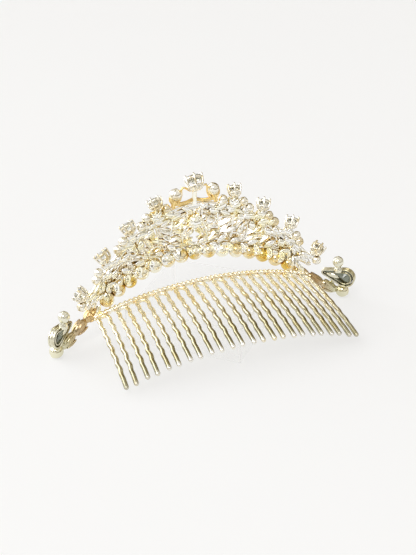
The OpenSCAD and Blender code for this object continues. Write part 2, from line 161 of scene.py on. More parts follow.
def upper_z(s):
    return UPPER_HEIGHT - s * s / (2 * UPPER_DROP) - RAIL_RADIUS


def crest_z(s):
    return upper_z(s) + (2 * RAIL_RADIUS + 0.1) * math.sqrt(1 + (s / UPPER_DROP) ** 2)


def cup_place(i):
    angle = i * CUP_PITCH / CUP_DROP
    return CUP_DROP * math.sin(angle), CUP_HEIGHT - CUP_DROP + CUP_DROP * math.cos(angle)


# Bench work: picking, joining, modifiers

def rest_selection():
    if bpy.context.mode != "OBJECT":
        bpy.ops.object.mode_set(mode="OBJECT")
    bpy.ops.object.select_all(action="DESELECT")


def pick(*pieces):
    rest_selection()
    for piece in pieces:
        piece.select_set(True)
    bpy.context.view_layer.objects.active = pieces[0]


def edit(piece):
    pick(piece)
    bpy.ops.object.mode_set(mode="EDIT")
    bpy.ops.mesh.select_mode(type="VERT")
    bpy.ops.mesh.select_all(action="SELECT")


def select_where(test):
    """Selects the vertices of the piece in edit mode whose place passes the test."""
    bpy.ops.mesh.select_all(action="DESELECT")
    bpy.ops.object.mode_set(mode="OBJECT")
    for vertex in bpy.context.object.data.vertices:
        vertex.select = test(vertex.co)
    bpy.ops.object.mode_set(mode="EDIT")


def settle(piece, place=(0, 0, 0), turn=(0, 0, 0), size=(1, 1, 1)):
    """Moves a piece by millimetres and puts its place into its mesh."""
    piece.location = [v * MM for v in place]
    piece.rotation_euler = turn
    piece.scale = size
    pick(piece)
    bpy.ops.object.transform_apply(location=True, rotation=True, scale=True)
    return piece


def copy_of(piece, place=(0, 0, 0), turn=(0, 0, 0), size=(1, 1, 1)):
    twin = piece.copy()
    twin.data = piece.data.copy()
    bpy.context.collection.objects.link(twin)
    twin.location = [v * MM for v in place]
    twin.rotation_euler = turn
    twin.scale = size
    return twin


def rename(piece, name):
    piece.name = name
    piece.data.name = name
    return piece


def join(name, pieces):
    pick(*pieces)
    bpy.ops.object.transform_apply(location=True, rotation=True, scale=True)
    if len(pieces) > 1:
        bpy.ops.object.join()
    return rename(bpy.context.object, name)


def discard(*pieces):
    for piece in pieces:
        bpy.data.objects.remove(piece, do_unlink=True)


def work(piece, kind, **settings):
    """Adds a modifier with these settings and applies it."""
    pick(piece)
    bpy.ops.object.modifier_add(type=kind)
    modifier = piece.modifiers[-1]
    for key, value in settings.items():
        setattr(modifier, key, value)
    bpy.ops.object.modifier_apply(modifier=modifier.name)
    return piece


def face_outward(piece):
    edit(piece)
    bpy.ops.mesh.normals_make_consistent(inside=False)
    rest_selection()
    return piece


def smooth(piece, degrees=180):
    pick(piece)
    bpy.ops.object.shade_smooth_by_angle(angle=math.radians(degrees))
    return piece


def bow(piece, radius, axis="Z"):
    """Bends a flat piece round a circle of this radius whose middle lies behind it."""
    along = [v.co[0 if axis == "Z" else 2] for v in piece.data.vertices]
    sweep = (max(along) - min(along)) / (radius * MM)
    return work(piece, "SIMPLE_DEFORM", deform_method="BEND", deform_axis=axis, angle=-sweep)


def both_halves(piece):
    work(piece, "MIRROR", use_mirror_merge=False)
    return face_outward(piece)


# Wires, turned parts, leaves, stones

def wire(path, sides=10):
    """A closed round wire through flat stations (s, z, radius), all in millimetres."""
    heads = []
    for (x0, z0, _), (x1, z1, _) in zip(path, path[1:]):
        head = math.atan2(x1 - x0, z1 - z0)
        if heads:
            head = heads[-1] + math.remainder(head - heads[-1], math.tau)
        heads.append(head)
    turns = [heads[0]] + [(a + b) / 2 for a, b in zip(heads, heads[1:])] + [heads[-1]]
    x0, z0, r0 = path[0]
    rest_selection()
    bpy.ops.mesh.primitive_circle_add(vertices=sides, radius=r0 * MM, fill_type="NGON",
                                      location=(x0 * MM, 0, z0 * MM), rotation=(0, turns[0], 0))
    piece = bpy.context.object
    bpy.ops.object.transform_apply(location=True, rotation=True, scale=True)
    edit(piece)
    for (xa, za, ra), (xb, zb, rb), before, after in zip(path, path[1:], turns, turns[1:]):
        step = ((xb - xa) * MM, 0, (zb - za) * MM)
        spot = (xb * MM, 0, zb * MM)
        bpy.ops.mesh.extrude_region_move(TRANSFORM_OT_translate={"value": step})
        if abs(after - before) > 1e-6:
            bpy.ops.transform.rotate(value=before - after, orient_axis="Y", center_override=spot)
        if rb != ra:
            bpy.ops.transform.resize(value=(rb / ra, rb / ra, rb / ra), center_override=spot)
    bpy.ops.mesh.select_all(action="SELECT")
    bpy.ops.mesh.normals_make_consistent(inside=False)
    rest_selection()
    return smooth(piece, 60)


def turned(profile, sides=24):
    """A solid turned about +Z through stations (radius, z), its first and last disc closed."""
    r0, z0 = profile[0]
    rest_selection()
    bpy.ops.mesh.primitive_circle_add(vertices=sides, radius=r0 * MM, fill_type="NGON",
                                      location=(0, 0, z0 * MM))
    piece = bpy.context.object
    bpy.ops.object.transform_apply(location=True, rotation=True, scale=True)
    edit(piece)
    for (ra, za), (rb, zb) in zip(profile, profile[1:]):
        bpy.ops.mesh.extrude_region_move(TRANSFORM_OT_translate={"value": (0, 0, (zb - za) * MM)})
        if rb != ra:
            bpy.ops.transform.resize(value=(rb / ra, rb / ra, 1), center_override=(0, 0, zb * MM))
    bpy.ops.mesh.select_all(action="SELECT")
    bpy.ops.mesh.normals_make_consistent(inside=False)
    rest_selection()
    return smooth(piece, 50)


def round_profile(radius, z, start=-88, stop=88, steps=9):
    """Stations of a ball's outline between two latitudes in degrees."""
    angles = [math.radians(start + (stop - start) * k / steps) for k in range(steps + 1)]
    return [(radius * math.cos(a), z + radius * math.sin(a)) for a in angles]


def ring(radius, thick, z=0, around=28, across=8):
    """A ring of wire about +Z, a little taller than it is wide."""
    rest_selection()
    bpy.ops.mesh.primitive_torus_add(major_segments=around, minor_segments=across,
                                     major_radius=radius * MM, minor_radius=thick * MM)
    piece = bpy.context.object
    edit(piece)
    bpy.ops.transform.resize(value=(1, 1, 1.15), center_override=(0, 0, 0))
    bpy.ops.transform.translate(value=(0, 0, z * MM))
    rest_selection()
    return smooth(piece)


def leaf_blank(rows=8, lifts=PLUMP):
    """A leaf of length 1 mm along +Z and width 1 mm, its faces lifted by these shares of its width."""
    columns = len(lifts) + 1
    grip = 0.02 * MM
    rest_selection()
    bpy.ops.mesh.primitive_grid_add(x_subdivisions=columns, y_subdivisions=rows, size=MM,
                                    rotation=(math.pi / 2, 0, 0), location=(0, 0, MM / 2))
    piece = bpy.context.object
    bpy.ops.object.transform_apply(location=True, rotation=True, scale=True)
    edit(piece)
    for row in range(rows + 1):
        share = row / rows
        swell = max(0.04, math.sin(math.pi * share) ** 0.8)
        level = share * MM
        select_where(lambda co: abs(co.z - level) < grip)
        bpy.ops.transform.resize(value=(swell, 1, 1), center_override=(0, 0, level))
        if row in (0, rows):
            continue
        near = (0.004 + 0.01 * swell) * MM
        for column, lift in enumerate(lifts, 1):
            across = (column / columns - 0.5) * MM * swell
            select_where(lambda co: abs(co.z - level) < grip and abs(co.x - across) < near)
            bpy.ops.transform.translate(value=(0, -lift * swell * MM, 0))
    rest_selection()
    work(piece, "MIRROR", use_axis=(False, True, False), merge_threshold=0.0005 * MM)
    return smooth(face_outward(piece), 70)


def leaf(blank, s, z, turn, length, width, thick=1.7, depth=0):
    return copy_of(blank, (s, depth, z), (0, math.radians(turn), 0), (width, thick, length))


def loop_path(length, width, thick, steps=12):
    """Stations of a leaf-shaped closed wire, from its foot along +Z and back."""
    half = [(width / 2 - thick) * math.sin(math.pi * k / steps) ** 0.8 for k in range(steps + 1)]
    rise = [thick + (length - 2 * thick) * k / steps for k in range(steps + 1)]
    up = [(-x, z, thick) for x, z in zip(half, rise)]
    down = [(x, z, thick) for x, z in zip(half, rise)]
    return up + down[-2::-1]


def brilliant(radius, height=0.3, depth=0.75):
    """A round stone with a table, star and kite facets above and mains below, looking to +Z."""
    rest_selection()
    bpy.ops.mesh.primitive_circle_add(vertices=16, radius=radius * MM, location=(0, 0, -0.06 * radius * MM))
    piece = bpy.context.object
    bpy.ops.object.transform_apply(location=True, rotation=True, scale=True)
    edit(piece)
    bpy.ops.mesh.extrude_region_move(TRANSFORM_OT_translate={"value": (0, 0, 0.12 * radius * MM)})
    rows = [(8, 0.55, height, 0), (8, 0.8, 0.199, 22.5), (8, 0.42, -0.482, 22.5), (8, 0.03, -depth, 0)]
    for count, share, level, turn in rows:
        bpy.ops.mesh.primitive_circle_add(vertices=count, radius=share * radius * MM,
                                          location=(0, 0, level * radius * MM),
                                          rotation=(0, 0, math.radians(turn)))
    bpy.ops.mesh.select_all(action="SELECT")
    flat = math.radians(2)
    bpy.ops.mesh.convex_hull(join_triangles=True, face_threshold=flat, shape_threshold=flat)
    bpy.ops.mesh.normals_make_consistent(inside=False)
    rest_selection()
    return piece


# Comb: twelve crinkled wires, each bent to two teeth, and the bound spine

def tooth_wave(drop):
    """Sideways swing of a tooth at this distance from the spine."""
    fade = min(1, max(0, ARCH_DROP + WAVY_LENGTH - drop) / WAVE_LENGTH)
    return WAVE_SWING * fade * math.sin(math.tau * (drop - ARCH_DROP) / WAVE_LENGTH)


def hairpin():
    """One wire with two legs, upright about the middle of the teeth's length."""
    half = TOOTH_LENGTH / 2
    root = SPINE_SHARE * TOOTH_PITCH / 2
    tip = TOOTH_PITCH / 2 - LEG_PINCH / 2
    steps = 56
    wavy = [ARCH_DROP + WAVY_LENGTH * k / steps for k in range(steps + 1)]
    drops = wavy + [TOOTH_LENGTH - 2.1, TOOTH_LENGTH - 1.1, TOOTH_LENGTH]
    thick = [(drop, WIRE_RADIUS + TIP_SWELL * drop / TOOTH_LENGTH) for drop in drops]
    r = WIRE_RADIUS + TIP_SWELL
    for past, share in ((0.35, 0.93), (0.65, 0.74), (0.85, 0.48), (0.95, 0.15)):
        thick.append((TOOTH_LENGTH + past * r, share * r))

    def leg(side):
        stations = []
        for drop, radius in thick:
            out = root + (tip - root) * drop / TOOTH_LENGTH
            stations.append((side * out + tooth_wave(drop), drop - half, radius))
        return stations

    arch = [(-root * math.cos(a), ARCH_DROP - half - root * math.sin(a), WIRE_RADIUS)
            for a in [math.pi * k / 12 for k in range(1, 12)]]
    return wire(leg(-1)[::-1] + arch + leg(1), 8)


def make_teeth(spine_dome):
    """Twelve hairpins side by side, bent over the comb's dome with their roots at z = 0."""
    blank = hairpin()
    wires = []
    for pair in range(TOOTH_COUNT // 2):
        tip = (2 * pair + 0.5 - (TOOTH_COUNT - 1) / 2) * TOOTH_PITCH
        root = DOME_RADIUS * math.asin(SPINE_SHARE * math.sin(tip / DOME_RADIUS))
        fan = math.atan2(tip - root, TOOTH_LENGTH)
        stretch = 1 / math.cos((tip + root) / 2 / DOME_RADIUS)
        wires.append(copy_of(blank, ((tip + root) / 2, 0, 0), (0, fan, 0), (1, 1, stretch)))
    discard(blank)
    teeth = join("teeth", wires)
    bow(teeth, DOME_RADIUS, "Z")
    bow(teeth, DOME_RADIUS, "X")
    return settle(teeth, (0, DOME_RADIUS - spine_dome, TOOTH_LENGTH / 2))


def make_spine(spine_dome):
    """The bar that carries the teeth, with a wire wound round it."""
    last = (TOOTH_COUNT - 1) / 2 * TOOTH_PITCH
    half = spine_dome * math.asin(SPINE_SHARE * DOME_RADIUS * math.sin(last / DOME_RADIUS) / spine_dome)
    ends = [(0, 0.45), (1, 0.8), (2, 1)]
    core = [(-half - 1 + 0.12 * k * k, 0, SPINE_CORE * share) for k, share in ends]
    core += [(-half + 2 * half * k / 60, 0, SPINE_CORE) for k in range(61)]
    core += [(half + 1 - 0.12 * k * k, 0, SPINE_CORE * share) for k, share in ends[::-1]]
    spine = wire(core, 12)
    turns_count = 2 * (TOOTH_COUNT - 1)
    pitch = 2 * half / turns_count
    start = (-(half + pitch / 2) * MM, 0, (SPINE_RADIUS - BINDING_WIRE) * MM)
    rest_selection()
    bpy.ops.mesh.primitive_circle_add(vertices=8, radius=BINDING_WIRE * MM,
                                      location=start, rotation=(math.pi / 2, 0, 0))
    binding = bpy.context.object
    bpy.ops.object.transform_apply(location=True, rotation=True, scale=True)
    work(binding, "SCREW", axis="X", angle=math.tau, screw_offset=pitch * MM, iterations=turns_count + 1,
         steps=14, render_steps=14)
    edit(binding)
    bpy.ops.mesh.fill_holes(sides=0)
    bpy.ops.mesh.select_all(action="SELECT")
    bpy.ops.mesh.normals_make_consistent(inside=False)
    smooth(binding, 60)
    bar = join("bar", [spine, binding])
    return bow(bar, spine_dome, "Z")


def make_comb():
    spine_dome = math.sqrt(DOME_RADIUS ** 2 - (TOOTH_LENGTH / 2) ** 2)
    comb = join("comb_wires", [make_teeth(spine_dome), make_spine(spine_dome)])
    return settle(comb, COMB_PLACE, (COMB_LEAN, 0, 0))


# Band: edge wires, vines, leaves, loops, eyelets and the middle flower

def rail(height, radius):
    """An edge wire of the arch, whose height depends on the distance s from the middle."""
    count = 2 * round(BAND_REACH / RAIL_STEP)
    spots = [-BAND_REACH + 2 * BAND_REACH * k / count for k in range(count + 1)]
    return wire([(s, height(s), radius) for s in spots], 10)


def eyelet(radius):
    """A ring that faces front and back, with a domed bar across it."""
    hoop = ring(radius - 0.4, 0.42, around=24)
    settle(hoop, turn=(math.pi / 2, 0, 0))
    bar = wire([(-radius + 0.3, 0, 0.25), (-0.5 * radius, 0, 0.38), (0, 0, 0.62), (0.5 * radius, 0, 0.38),
                (radius - 0.3, 0, 0.25)], 8)
    return join("eyelet", [hoop, bar])


def edge_turn(height, s):
    """Turn from upright of an edge wire's direction at the distance s."""
    return math.degrees(math.atan2(1, (height(s + 0.1) - height(s - 0.1)) / 0.2))


def uneven(k, share=1.0):
    """A repeatable swing between -1 and 1 for the k-th piece."""
    return math.sin(12.9 * k * share + 1.7 * k * k)


def garland(blank, height, start, pitch, length, width, depth, drop=0.0, hang=0.0, stop=45):
    """Uneven small leaves along an edge wire of the right half, on its front and back."""
    leaves = []
    for k in range(int((stop - start) / pitch)):
        for side in (-1, 1):
            swing = uneven(k + 5 * side + 20)
            s = start + pitch * (k + 0.5 + 0.3 * swing)
            lean = (34 if k % 2 else -30) + 16 * uneven(k, 0.7) + side * 6
            size = length * (1 + 0.2 * uneven(k + 3))
            wide = width * (1 + 0.18 * swing)
            out = side * (depth + 0.3 * uneven(k + 9))
            z = height(s) - drop - (hang if k % 2 else 0)
            turn = edge_turn(height, s) + lean
            leaves.append(leaf(blank, s - 0.35 * size, z, turn, size, wide, 1.3, out))
    return leaves


def lappets(blank):
    """Small leaves that hang from the lower edge wire over the upper part of the cups, on both faces."""
    leaves = []
    for k in range(CUPS_A_SIDE + 1):
        s, z = cup_place(k)
        out = math.degrees(math.atan2(s, z - CUP_HEIGHT + CUP_DROP))
        for side in (-1, 1):
            for share, lean in ((0.28, 150), (-0.3, 215)):
                if s + share * CUP_PITCH < 0.5:
                    continue
                turn = math.radians(out + lean + 12 * uneven(k, 0.4))
                flap = settle(copy_of(blank), size=(2.7, 1.2, 3.7 + 0.4 * uneven(k + side)))
                settle(flap, turn=(-side * 0.42, 0, 0))
                settle(flap, turn=(0, turn, 0))
                leaves.append(settle(flap, (s + share * CUP_PITCH, side * 1.5, lower_z(s) - 0.2)))
    return leaves


def vine(foot, head, grain):
    """One swaying wire between the edge wires, with a curl at its side and a grain near each end."""
    low, high = lower_z(foot), upper_z(head)
    path = []
    for k in range(13):
        share = k / 12
        s = foot + (head - foot) * share + 0.5 * math.sin(math.tau * share)
        path.append((s, low + (high - low) * share, 0.6 - 0.1 * math.sin(math.pi * share)))
    side = 1 if foot < 20 else -1
    s, z, _ = path[5]
    curl = []
    for k in range(15):
        angle = math.radians(30 * k)
        reach = 1.5 * (1 - k / 20)
        out = 1.4 - reach * math.cos(angle)
        curl.append((s + side * out, z + reach * math.sin(angle), 0.42 - 0.012 * k))
    pieces = [wire(path, 8), wire(curl, 6)]
    for s, z in ((foot + 0.9, lower_z(foot + 0.9) + 0.8), (head - 1, upper_z(head - 1) - 0.8)):
        pieces.append(copy_of(grain, (s, 0, z)))
    return pieces


def ribbed_loop(blank, s, z, turn, length, width):
    """A leaf-shaped loop of wire with a narrow leaf inside it."""
    loop = settle(wire(loop_path(length, width, 0.5), 8), size=(1, 1.35, 1))
    settle(loop, (s, 0, z), (0, math.radians(turn), 0))
    return [loop, leaf(blank, s, z, turn, 0.7 * length, 0.3 * width, 1)]


def middle_flower(blank, grain):
    """A domed eye with eight petals and a ring of twelve grains on each face."""
    dome = [(0.3, 2.95), (1.2, 2.72), (2, 2.2), (2.6, 1.4), (2.95, 0.5)]
    eye = turned([(r, -z) for r, z in dome] + dome[::-1], 24)
    pieces = [settle(eye, turn=(math.pi / 2, 0, 0))]
    for k in range(8):
        turn = math.tau * (k + 0.5) / 8
        place = (2.2 * math.sin(turn), 0, 2.2 * math.cos(turn))
        pieces.append(copy_of(blank, place, (0, turn, 0), (2.8, 1.7, 3.4)))
    for k in range(12):
        turn = math.tau * k / 12
        for side in (-1, 1):
            place = (2.5 * math.sin(turn), side * 1.45, 2.5 * math.cos(turn))
            pieces.append(copy_of(grain, place, size=(0.7, 0.7, 0.7)))
    return settle(join("flower", pieces), (0, 0, FLOWER_HEIGHT))


def make_band():
    parts = [rail(lower_z, 0.55), rail(upper_z, 0.5)]
    grain = turned(round_profile(0.62, 0, steps=6), 12)
    blank = leaf_blank(lifts=RIBBED)
    small_leaf = leaf_blank(5)
    half = garland(small_leaf, upper_z, 2.5, 2.7, 5, 2.6, 0.8, 0.5)
    half += garland(small_leaf, lower_z, 1.5, 3.1, 4.6, 2.4, 1.5, -0.3, 0.5)
    half += lappets(blank)
    for foot, head in VINES:
        half += vine(foot, head, grain)
    for row in LEAVES:
        half.append(leaf(blank, *row))
    for row in LOOPS:
        half += ribbed_loop(blank, *row)
    for s, z, radius in EYELETS:
        half.append(settle(eyelet(radius), (s, 0, z), (0, math.radians(35), 0)))
    parts.append(both_halves(join("filling", half)))
    parts.append(middle_flower(blank, grain))
    discard(grain, blank, small_leaf)
    band = join("band_openwork", parts)
    bow(band, BAND_RADIUS)
    return settle(band, (0, BAND_FRONT, 0))


# Crest: wire, stems, claw baskets, balls and scroll arms

def claw_basket(diameter):
    """An open basket on a turned foot: two rings and six claws; the girdle plane is z = 0."""
    r = diameter / 2
    depth = 1.5 * r
    claw = wire([(0.44 * r, -0.94 * depth, 0.4), (0.74 * r, -0.8 * depth, 0.4),
                 (0.93 * r, -0.64 * depth, 0.4), (r + 0.12, -0.4 * depth, 0.4),
                 (r + 0.2, -0.15 * depth, 0.38), (r + 0.3, 0.15, 0.36), (r + 0.28, 0.5, 0.4),
                 (r + 0.05, 0.76, 0.36), (r - 0.2, 0.82, 0.24)], 8)
    pieces = [copy_of(claw, turn=(0, 0, math.radians(60 * k + 15))) for k in range(6)]
    discard(claw)
    pieces.append(ring(r + 0.12, 0.34, -0.42, around=32))
    pieces.append(ring(0.9 * r, 0.3, -0.7 * depth, across=6))
    pieces.append(turned([(0.2, -depth), (0.4 * r, -depth), (0.55 * r, -0.93 * depth),
                          (0.74 * r, -0.82 * depth), (0.68 * r, -0.76 * depth),
                          (0.45 * r, -0.84 * depth), (0.2, -0.86 * depth)], 20))
    return join("basket", pieces)


def in_setting(piece, foot, s, z):
    """Moves a piece made about its girdle plane to its crest setting."""
    lean = math.atan2(s - foot, z - crest_z(foot))
    settle(piece, (0, 0, 0.9))
    settle(piece, turn=(STONE_LIFT - math.pi / 2, 0, 0))
    return settle(piece, (s, 0, z), (0, lean, 0))


def stem(s0, z0, s1, z1, radius):
    """A drawn wire between two places, a little thicker where it is soldered."""
    def at(share, swell):
        return s0 + (s1 - s0) * share, z0 + (z1 - z0) * share, radius * swell
    return wire([at(0, 1.1), at(0.2, 1), at(0.5, 0.86), at(0.8, 0.92), at(1, 1.05)], 10)


def bead_blank():
    """A bead of the small balls' radius, with a pip on top."""
    r = SMALL_RADIUS
    pip = [(0.3 * r, 0.96 * r), (0.22 * r, 1.03 * r), (0.06 * r, 1.07 * r)]
    return turned(round_profile(r, 0, -84, 70, 12) + pip, 24)


def sized(radius):
    """The scale that brings the bead blank to this radius."""
    return (radius / SMALL_RADIUS,) * 3


def calyx(blank, foot, s, z):
    """Three small leaves on each face round the stem under a crest stone."""
    rise = z - crest_z(foot)
    stem_turn = math.degrees(math.atan2(s - foot, rise))
    low = crest_z(foot) - 0.4
    leaves = []
    for out in (-0.8, 0.8):
        for turn in (-26, 4, 30):
            leaves.append(leaf(blank, foot, low, stem_turn + turn, 0.66 * rise, 2, 1.4, out))
    return leaves


def make_crest():
    parts = [rail(crest_z, 0.5)]
    small_leaf = leaf_blank(5)
    parts.append(stem(0, crest_z(0), 0, CENTER_Z - 2.4, 1.06))
    half = garland(small_leaf, crest_z, 9.5, 2.3, 4, 2.2, 0.9, stop=44.5)
    for foot, s, z in CREST:
        half.append(stem(foot, crest_z(foot), s - 0.25 * (s - foot), z - 1.7, 0.85))
        half += calyx(small_leaf, foot, s, z)
    for foot, s, z in BALLS:
        half.append(stem(foot, crest_z(foot), s, z, 0.68))
    parts.append(both_halves(join("crest_half", half)))
    discard(small_leaf)
    crest = join("crest_mounts", parts)
    bow(crest, BAND_RADIUS)
    return settle(crest, (0, BAND_FRONT, 0))


def make_baskets_and_balls():
    bead = bead_blank()
    small = claw_basket(CREST_STONE)
    half = [in_setting(copy_of(small), foot, s, z) for foot, s, z in CREST]
    for foot, s, z in BALLS:
        lean = math.atan2(s - foot, z - crest_z(foot))
        half.append(copy_of(bead, (s, 0, z), (0, lean, 0)))
    half.append(copy_of(bead, (LARGE_BALL[0], 0, LARGE_BALL[1]), (0, -0.2, 0), sized(LARGE_RADIUS)))
    discard(bead, small)
    center = in_setting(claw_basket(CENTER_STONE), 0, 0, CENTER_Z)
    mounts = join("crest_baskets", [both_halves(join("basket_half", half)), center])
    bow(mounts, BAND_RADIUS)
    return settle(mounts, (0, BAND_FRONT, 0))


def make_arms():
    """The two scroll arms from the centre stem out to under the large balls, with their feet and curls."""
    path = [(0.4, 46.7, 0.75), (1.6, 46.3, 0.72), (3, 45.95, 0.66), (4.6, 45.8, 0.68), (6.2, 45.8, 0.75),
            (7.6, 46.2, 0.85), (8.6, 46.9, 0.85), (9.3, 47.9, 0.75), (9.4, 49, 0.55)]
    foot = [(7.4, 48, 1.15), (7.8, 46.9, 1.05), (8.2, 45.8, 0.9), (8.5, 44.6, 0.7)]
    curl = [(6.6, 46.2, 0.5), (5.6, 47.6, 0.5), (5.1, 49.2, 0.48), (5.1, 50.8, 0.45),
            (4.6, 51.8, 0.42), (3.6, 51.6, 0.42), (2.4, 50.8, 0.42), (1.4, 50.1, 0.4)]
    arms = both_halves(join("crest_arms", [wire(path, 12), wire(foot, 12), wire(curl, 8)]))
    bow(arms, BAND_RADIUS)
    return settle(arms, (0, BAND_FRONT, 0))


# Cup border

def make_cups():
    """Fifteen turned cups, each with an eye in its round back and a seat for its stone in front."""
    back = [(CUP_RADIUS * math.cos(a), CUP_RADIUS * math.sin(a))
            for a in [math.radians(-80 + 96 * k / 11) for k in range(12)]]
    seat = CUP_STONE / 2 + 0.1
    profile = [(0.1, -2.35), (0.4, -2.4), (0.5, -2.6), (0.62, -2.76)] + back[1:]
    profile += [(seat + 0.3, 0.98), (seat, 0.9), (seat, -0.3), (seat - 0.25, -1.3), (0.1, -1.3)]
    cup = turned(profile, 32)
    settle(cup, turn=(-math.pi / 2, 0, 0))
    cups = []
    for i in range(-CUPS_A_SIDE, CUPS_A_SIDE + 1):
        s, z = cup_place(i)
        cups.append(copy_of(cup, (s, 0, z)))
    discard(cup)
    border = join("cup_row", cups)
    bow(border, BAND_RADIUS)
    return settle(border, (0, BAND_FRONT, 0))


# Ends

def pear_outline(inset, steps=16):
    """Points (x, z) round the pear, its round end at the origin and its point along +X."""
    slope = math.acos((PEAR_ROUND - PEAR_TIP) / PEAR_REACH)
    big, small = PEAR_ROUND - inset, PEAR_TIP - inset
    points = []
    for k in range(steps + 1):
        a = slope + (math.tau - 2 * slope) * k / steps
        points.append((big * math.cos(a), big * math.sin(a)))
    for k in range(7):
        a = -slope + 2 * slope * k / 6
        points.append((PEAR_REACH + small * math.cos(a), small * math.sin(a)))
    points.append(points[0])
    return points


def at_pear(piece, place=(0, 0, 0)):
    """Moves a piece beside the pear setting: x outward along it, y to the front, z up."""
    settle(piece, place)
    settle(piece, turn=(0, 0, -PEAR_TURN))
    return settle(piece, PEAR_CENTER)


def on_pear(piece):
    settle(piece, turn=(0, PEAR_CLIMB - math.pi, 0))
    return at_pear(piece)


def chain_link(s, z, thick):
    """A fat bud whose middle is at (s, z), lapped by three narrow leaves on each face."""
    profile = []
    for k in range(13):
        angle = math.radians(-84 + 14 * k)
        profile.append((math.cos(angle) ** 0.9, LINK_LENGTH / 2 * math.sin(angle)))
    bud = settle(turned(profile, 20), size=(CHAIN_WIDTH / 2, thick / 2, 1))
    pieces = [bud]
    for side in (-1, 1):
        for x, lean in ((-1.1, 0.16), (0.2, 0.05), (1.3, -0.12)):
            lap = turned([(0.12, -0.33 * LINK_LENGTH), (0.5, -0.22 * LINK_LENGTH), (0.72, 0),
                          (0.5, 0.2 * LINK_LENGTH), (0.12, 0.32 * LINK_LENGTH)], 12)
            pieces.append(settle(lap, (x, side * 0.37 * thick, 0), (0, lean, 0), (0.85, 1, 1)))
    return settle(join("link", pieces), (s, CHAIN_OUT, z), (0, CHAIN_SLOPE, 0))


def make_chain(bead):
    """The fat leaves of the right end on their core wire, from the knuckle to the foot ball."""
    pieces = [chain_link(s, z, thick) for s, z, thick in CHAIN]
    core = [(*CHAIN[0][:2], 0.9), (50, 6.6, 0.9), (*FOOT_BALL, 0.9)]
    pieces.append(settle(wire(core, 8), (0, CHAIN_OUT, 0)))
    foot = (FOOT_BALL[0], CHAIN_OUT, FOOT_BALL[1])
    pieces.append(copy_of(bead, foot, (0, 2.2, 0), sized(FOOT_RADIUS)))
    start = (KNUCKLE[0], KNUCKLE_OUT, KNUCKLE[1])
    pieces.append(copy_of(bead, start, (0, 0.5, 0), sized(KNUCKLE_RADIUS)))
    chain = join("chain_right", pieces)
    bow(chain, BAND_RADIUS)
    return settle(chain, (0, BAND_FRONT, 0))


def make_bezel():
    """The rim of the pear setting with three trims, and behind it a gallery wire and a tongue of leaf."""
    rim = 0.3
    bezel = wire([(x, z, rim) for x, z in pear_outline(0.52)], 10)
    settle(bezel, size=(1, BEZEL_HALF / rim, 1))
    parts = [bezel]
    for depth in (-0.95, 0, 0.95):
        trim = wire([(x, z, 0.34) for x, z in pear_outline(0.38)], 8)
        parts.append(settle(trim, (0, depth, 0)))
    gallery = wire([(x, z, 0.26) for x, z in pear_outline(1.5)], 8)
    parts.append(settle(gallery, (0, -0.95, 0)))
    blank = leaf_blank()
    parts.append(leaf(blank, 1.6, 0.3, 90, 6.2, 2.2, 1.2, -0.9))
    discard(blank)
    return on_pear(join("bezel", parts))


def make_pear_setting(bead):
    top = at_pear(settle(copy_of(bead), size=sized(TOP_RADIUS)), TOP_BALL)
    neck = turned([(1.6, 3), (1.7, 3.9), (1.4, 4.5), (1.1, 5.1), (0.95, 6.2), (0.5, 6.6)], 16)
    stalk = wire([(0, -5.2, 0.85), (0, -3.4, 0.7), (0, -1.3, 0.8)], 10)
    pieces = [make_bezel(), top, at_pear(neck, (-2.6, -1.6, 0)), at_pear(stalk, (-5, 0.6, 0))]
    return join("pear_setting_right", pieces)


def mirrored(piece):
    return face_outward(settle(copy_of(piece), size=(-1, 1, 1)))


# Stones

def make_stones():
    """Every cut stone in its setting, each under the name of the node that it stands for."""
    stones = {"center_stone": in_setting(brilliant(CENTER_STONE / 2), 0, 0, CENTER_Z)}
    crest_cut = brilliant(CREST_STONE / 2)
    for k, (foot, s, z) in enumerate(CREST, 1):
        right = in_setting(copy_of(crest_cut), foot, s, z)
        stones["crest_stone_r%d" % k] = right
        stones["crest_stone_l%d" % k] = mirrored(right)
    cup_cut = brilliant(CUP_STONE / 2)
    settle(cup_cut, (0, 0, 0.5))
    settle(cup_cut, turn=(-math.pi / 2, 0, 0))
    for i in range(-CUPS_A_SIDE, CUPS_A_SIDE + 1):
        s, z = cup_place(i)
        side = "r" if i > 0 else "l"
        name = "cup_stone_%s%d" % (side, abs(i)) if i else "cup_stone_0"
        stones[name] = settle(copy_of(cup_cut), (s, 0, z))
    discard(crest_cut, cup_cut)
    for stone in stones.values():
        bow(stone, BAND_RADIUS)
        settle(stone, (0, BAND_FRONT, 0))
    pear = pear_stone()
    stones["pear_stone_right"] = pear
    stones["pear_stone_left"] = mirrored(pear)
    for name, stone in stones.items():
        rename(stone, name + "_cut")
    return stones


